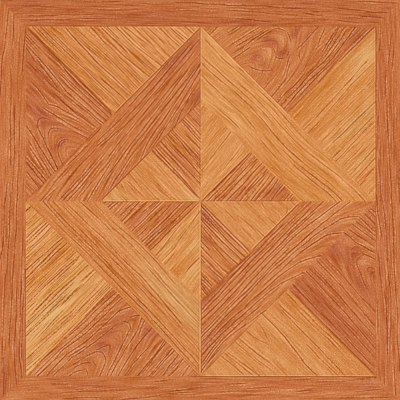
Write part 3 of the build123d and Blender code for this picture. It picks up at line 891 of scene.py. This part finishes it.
lay_inner(
    "upper_right", -up_left, rising, 0.58, {"mate": -0.4, "next": -0.15},
    rosy=-2, slope=0.05, pressure=1.2, veins=0.45,
    lines=[(-90, -1.4, -36, -1, -0.26), (-95, -3.2, -70, -3.8, -0.46), (-76, -3.8, -36, -1.8, -0.4),
           (-90, -6.5, -60, -7.2, -0.38), (-66, -7.2, -36, -6.1, -0.4), (-87, -10.6, -60, -10.1, -0.4),
           (-66, -10.2, -36, -9.3, -0.38), (-85, -13.7, -58, -13.8, -0.42), (-64, -13.9, -36, -12.5, -0.44),
           (-68, -18.9, -46, -18.6, -0.3), (-48, -19.5, -36, -18.8, -0.3), (-77, -21, -58, -19.8, -0.44),
           (-62, -20, -44, -20.4, -0.3), (-72, -24.3, -46, -21.8, -0.36), (-70, -26.9, -41, -23.6, -0.4),
           (-68, -29, -48, -27.8, -0.42), (-52, -28.1, -36, -26.6, -0.38), (-65, -31, -52, -32.2, -0.36),
           (-56, -32.4, -36, -29.5, -0.42), (-59, -37.7, -36, -34.9, -0.42),
           (-52, -44.6, -36, -43.4, -0.42), (-49, -48.2, -36, -47.4, -0.36), (-84, -8.6, -44, -8.2, 0.16),
           (-82, -12, -44, -11.4, 0.14)],
    stains=[(-74, -5, 18, 2.5, -0.14), (-62, -28, 12, 2, -0.12), (-50, -23, 16, 2, 0.12),
            (-50, -37, 10, 5, -0.08), (-66, -16.5, 12, 3, 0.12), (-44, -4, 8, 6, 0.1)],
    russet=[(-46, -36, 10, 6, 0.5), (-74, -16, 10, 4, 0.4)],
)
lay_inner(
    "lower_left", up_left, rising, 0.53, {"mate": -0.2, "next": -0.2},
    rosy=-1, pressure=1.35, veins=0.45,
    lines=[(36, 50.2, 47, 50, -0.3), (36, 46.9, 52, 45.2, -0.36), (37, 44.8, 54, 43.4, -0.42),
           (41, 36.3, 51, 34.9, -0.26), (47, 36.2, 61, 34.9, -0.26), (36, 30.8, 64, 33.2, -0.3, 0.3),
           (36, 29.8, 60, 30.7, 0.2), (56, 30.2, 70, 27.6, -0.42, 0.3), (54, 25.8, 70, 23.8, -0.26),
           (38, 20.7, 77, 20.5, -0.5), (44, 21.5, 74, 21.3, 0.26), (44, 19.7, 77, 19.6, 0.34),
           (62, 22.4, 77, 22, -0.26), (38, 14.8, 54, 14.4, -0.3), (56, 13.9, 79, 14.4, -0.3),
           (36, 9.9, 62, 9.3, -0.46), (56, 9.5, 89, 9.1, -0.42), (36, 10.8, 60, 10.3, 0.2),
           (44, 8.1, 60, 6.7, -0.26), (36, 6.1, 56, 5.1, -0.4), (50, 5.5, 76, 3.7, -0.42),
           (70, 3.9, 91, 3.6, -0.38), (36, 1, 70, 0.8, -0.36)],
    stains=[(52, 5, 12, 4, -0.16), (82, 4, 12, 3, -0.12), (63, 25, 10, 3, 0.1), (70, 15, 12, 4, -0.06),
            (48, 38, 12, 4, 0.16), (43, 18, 6, 3, 0.1)],
    russet=[(50, 25, 10, 3, 0.5), (52, 35, 8, 2, 0.3), (70, 11.5, 14, 2, 0.4)],
)
lay_inner(
    "lower_left", -up_left, rising, 0.77, {"mate": 0.1, "next": 0.45},
    rosy=-4, slope=0.08, pressure=1.1, veins=0.25,
    lines=[(36, -5, 54, -4.4, -0.2, -0.2), (49, -4.7, 74, -1, -0.26), (46, -2.8, 62, -2, 0.24),
           (38, -8.7, 56, -7.8, 0.2), (36, -11.2, 58, -11, -0.24, -0.2), (52, -11.2, 72, -7, -0.26, -0.3),
           (66, -8.6, 92, -4.2, -0.26), (36, -12.7, 56, -11.9, 0.22), (41, -15.3, 54, -13.6, -0.2),
           (46, -30.5, 66, -30, -0.34, 0.6), (46, -31.6, 64, -31, 0.2)],
    blond=[(68, -20, 8, 4, 1.0), (54, -34, 9, 4, 1.0), (60, -8, 24, 4, 0.6)],
    stains=[(50, -25, 18, 4, -0.15), (56, -16, 20, 2, -0.1), (60, -13, 20, 1.5, 0.12),
            (68, -20, 8, 4, 0.12), (54, -34, 9, 3.5, 0.18), (42, -12, 6, 4, 0.1), (56, -6, 16, 2.5, -0.08)],
)
lay_inner(
    "lower_right", up_right, falling, 0.68, {"band": 0.4, "next": 0.15},
    rosy=-4, pressure=0.85, veins=0.12,
    lines=[(-67, 12.5, -48, 13.7, -0.22), (-80, 8.6, -61, 8.3, -0.2), (-87, 6.1, -68, 5.7, 0.16),
           (-51, 27.4, -36, 28.2, -0.26), (-51, 15.3, -36, 15, -0.26), (-63, 33, -53, 30, -0.26),
           (-47, 35.6, -40, 32.6, -0.3), (-47, 45, -40, 36.6, -0.2, 1.2)],
    stains=[(-46, 28, 10, 1.5, -0.06), (-78, 8, 14, 3, 0.06), (-47, 40, 10, 6, -0.06)],
)
lay_inner(
    "lower_right", -up_right, falling, 0.55, {"band": -0.1, "mate": -0.25, "next": -0.2},
    rosy=-2, pressure=1.8, veins=0.5,
    lines=[(-92, -0.7, -36, -0.8, -0.3), (-93, -2.1, -64, -3.3, -0.42), (-70, -3.2, -36, -3, -0.42),
           (-91, -5.6, -62, -6.6, -0.42), (-68, -6.5, -36, -6.5, -0.42), (-89, -9.3, -60, -10.4, -0.44),
           (-66, -10.3, -36, -9.6, -0.44), (-84, -8.6, -42, -8.8, 0.24), (-85, -12.5, -60, -14.8, -0.4),
           (-66, -14.7, -36, -13.6, -0.44, -0.3), (-72, -12.6, -50, -13, 0.22),
           (-79, -21.1, -62, -21, -0.42), (-75, -23.9, -50, -24.7, -0.44), (-56, -24.6, -36, -24.1, -0.44),
           (-72, -25, -40, -25.6, 0.26), (-67, -30.6, -48, -31.4, -0.38), (-54, -31.4, -36, -30, -0.4),
           (-56, -39.4, -41, -40.1, -0.34), (-55, -41.9, -39, -41.4, -0.42),
           (-53, -44.8, -38, -45.9, -0.38), (-51, -46.3, -36, -47.2, -0.42)],
    stains=[(-84, -5, 9, 3.5, -0.17), (-74, -7, 18, 3, -0.12), (-54, -13.5, 20, 2.5, -0.1),
            (-60, -26, 20, 4, 0.12), (-48, -35, 14, 3, 0.08), (-50, -40, 8, 1.5, -0.12),
            (-45, -46, 8, 2, -0.12), (-43, -8, 7, 4, 0.14)],
    russet=[(-72, -18, 8, 3, 0.6), (-83, -5, 10, 3.5, 1.0), (-45, -31, 8, 2, 0.5), (-50, -44, 8, 3, 0.4)],
)

# The bare vinyl: the punched sides show the filled core with the printed film as a brown line at the top,
# and the back is the same core with the faint cloth mark of the calender's carrier.
core_inks = ink(188, 175, 152), ink(224, 214, 196)
film_ink = ink(146, 80, 36)
film_depth = 0.15
stone_grains = Fleck(0.45, 0.45, 1.0)
core_mottle = Fleck(11, 11, 0.3)
cloth_pitch = 1.3
cloth_weight = 0.16
cloth_depth = 0.04
core_middle = 0.5
core_roughness = 0.6
core_gloss = 0.3
side_height = face_height / MM - rim_radius


def vinyl_core():
    """Bare filled vinyl: pale stone grains, a cloth mark on the back and the film's edge up the sides."""
    seeds = itertools.count(seeds_each * len(finishes))
    material = bpy.data.materials.new("bare_vinyl")
    material.use_nodes = True
    tree = material.node_tree
    shader = tree.nodes["Principled BSDF"]
    _, along, across, height = grain_axes(tree, centre, 0)
    round_along = along - height
    round_across = across + height
    grain = scatter(round_along, round_across, stone_grains, next(seeds))
    mottle = scatter(round_along, round_across, core_mottle, next(seeds))
    threads = [(axis * (2 * math.pi / cloth_pitch)).reckon("SINE") for axis in (along, across)]
    on_back = height.step_up(film_depth, 0.0)
    cloth = threads[0] * threads[1] * on_back
    core = mix_inks(tree, grain + mottle + cloth * cloth_weight + core_middle, *core_inks)
    film = height.step_up(side_height - film_depth, side_height - film_depth / 2)
    tree.links.new(mix_inks(tree, film, core, film_ink), shader.inputs["Base Color"])
    emboss(tree, cloth, cloth_depth)
    shader.inputs["Roughness"].default_value = core_roughness
    shader.inputs["Specular IOR Level"].default_value = core_gloss
    return material


bare_slot = len(finishes)
finishes.append(vinyl_core())
border_sides = [Vector((0, 1)), Vector((0, -1)), Vector((-1, 0)), Vector((1, 0))]
side_on = 0.1
face_down = -0.5


def facing(face):
    """Which of the four sides a face of the rim or of the punched edge looks to."""
    return max(range(len(border_sides)), key=lambda side: face.normal.xy.dot(border_sides[side]))


for face in sheet.faces:
    if face.normal.z < side_on:
        face.material_index = bare_slot
    elif face.normal.z < flat_up:
        face.material_index = facing(face)

# The sheet's own map for baking: most of it for the print, a small square for the back and four thin rows
# for the punched sides, so that the print is baked as finely as the map allows.
baking_map = sheet.loops.layers.uv.new("OFBake")
map_margin = 0.01
print_share = 0.86
back_share = 1 - print_share - 3 * map_margin
row_share = 0.012
map_middle = Vector((0.5, 0.5))
for face in sheet.faces:
    for corner in face.loops:
        spot = corner.vert.co
        across_sheet = spot.xy / MM / (2 * half_side) + map_middle
        if face.normal.z > side_on:
            place = across_sheet * print_share + Vector((map_margin, map_margin))
        elif face.normal.z < face_down:
            mirrored = Vector((1 - across_sheet.x, across_sheet.y))
            place = mirrored * back_share + Vector((print_share + 2 * map_margin, map_margin))
        else:
            side = facing(face)
            run = across_sheet.dot(border_sides[side].yx)
            row = print_share + 2 * map_margin + side * (row_share + map_margin)
            place = Vector((map_margin + abs(run) * print_share, row + spot.z / face_height * row_share))
        corner[baking_map].uv = place

tile_mesh = bpy.data.meshes.new("printed_tile")
sheet.to_mesh(tile_mesh)
sheet.free()
for finish in finishes:
    tile_mesh.materials.append(finish)
tile = bpy.data.objects.new("printed_tile", tile_mesh)
bpy.context.scene.collection.objects.link(tile)
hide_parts("vinyl_tile")
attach(tile, "root")

# The studio: a pale floor, two softboxes, an even white surround that looks brighter than the light it gives,
# and a camera that looks straight down on the tile.
floor_mesh = bpy.data.meshes.new("floor")
floor_shape = bmesh.new()
floor_reach = 1.1
floor_gap = 0.05
floor_grey = (0.75, 0.75, 0.75, 1.0)
bmesh.ops.create_grid(floor_shape, size=floor_reach)
bmesh.ops.translate(floor_shape, vec=(0, 0, -floor_gap * MM), verts=floor_shape.verts)
floor_shape.to_mesh(floor_mesh)
floor_shape.free()
floor = bpy.data.objects.new("floor", floor_mesh)
bpy.context.scene.collection.objects.link(floor)
floor_paint = bpy.data.materials.new("floor_paint")
floor_paint.use_nodes = True
floor_paint.node_tree.nodes["Principled BSDF"].inputs["Base Color"].default_value = floor_grey
floor_mesh.materials.append(floor_paint)

world = bpy.data.worlds.new("surround")
world.use_nodes = True
surround_level = 0.2
backdrop_level = 0.75
white = (1.0, 1.0, 1.0, 1.0)
sky = world.node_tree
surround = sky.nodes["Background"]
surround.inputs["Color"].default_value = white
surround.inputs["Strength"].default_value = surround_level
backdrop = sky.nodes.new("ShaderNodeBackground")
backdrop.inputs["Color"].default_value = white
backdrop.inputs["Strength"].default_value = backdrop_level
ray = sky.nodes.new("ShaderNodeLightPath")
seen, reflected, seen_through = (
    Field(sky, ray.outputs[f"Is {kind} Ray"]) for kind in ("Camera", "Glossy", "Transmission")
)
either = sky.nodes.new("ShaderNodeMixShader")
seen_share, unseen_light, seen_light = either.inputs
sky.links.new((seen + reflected + seen_through).socket, seen_share)
sky.links.new(surround.outputs["Background"], unseen_light)
sky.links.new(backdrop.outputs["Background"], seen_light)
sky.links.new(either.outputs["Shader"], sky.nodes["World Output"].inputs["Surface"])
bpy.context.scene.world = world
bpy.context.scene.view_settings.view_transform = "Standard"

lamp_reach = 1.2
lamp_height = 0.9
lamp_size = 0.9
lamp_sides = (-1, 1)
light_level = 1.05
lamp_level = (light_level - surround_level) / len(lamp_sides)
lamp_distance = math.hypot(lamp_reach, lamp_height)
for side in lamp_sides:
    lamp_data = bpy.data.lights.new("softbox", "AREA")
    lamp_data.size = lamp_size
    lamp_data.energy = lamp_level * math.pi ** 2 * lamp_distance ** 3 / lamp_height
    lamp = bpy.data.objects.new("softbox", lamp_data)
    bpy.context.scene.collection.objects.link(lamp)
    lamp.location = (side * lamp_reach, 0, lamp_height)
    lamp.rotation_euler = (0, side * math.atan2(lamp_reach, lamp_height), 0)

lens = 85
camera_data = bpy.data.cameras.new("camera")
camera_data.lens = lens
camera = bpy.data.objects.new("camera", camera_data)
bpy.context.scene.collection.objects.link(camera)
picture_side = 2 * (half_side - 2 * rim_radius) * MM
camera.location = (0, 0, face_height + picture_side * lens / camera_data.sensor_width)
bpy.context.scene.camera = camera
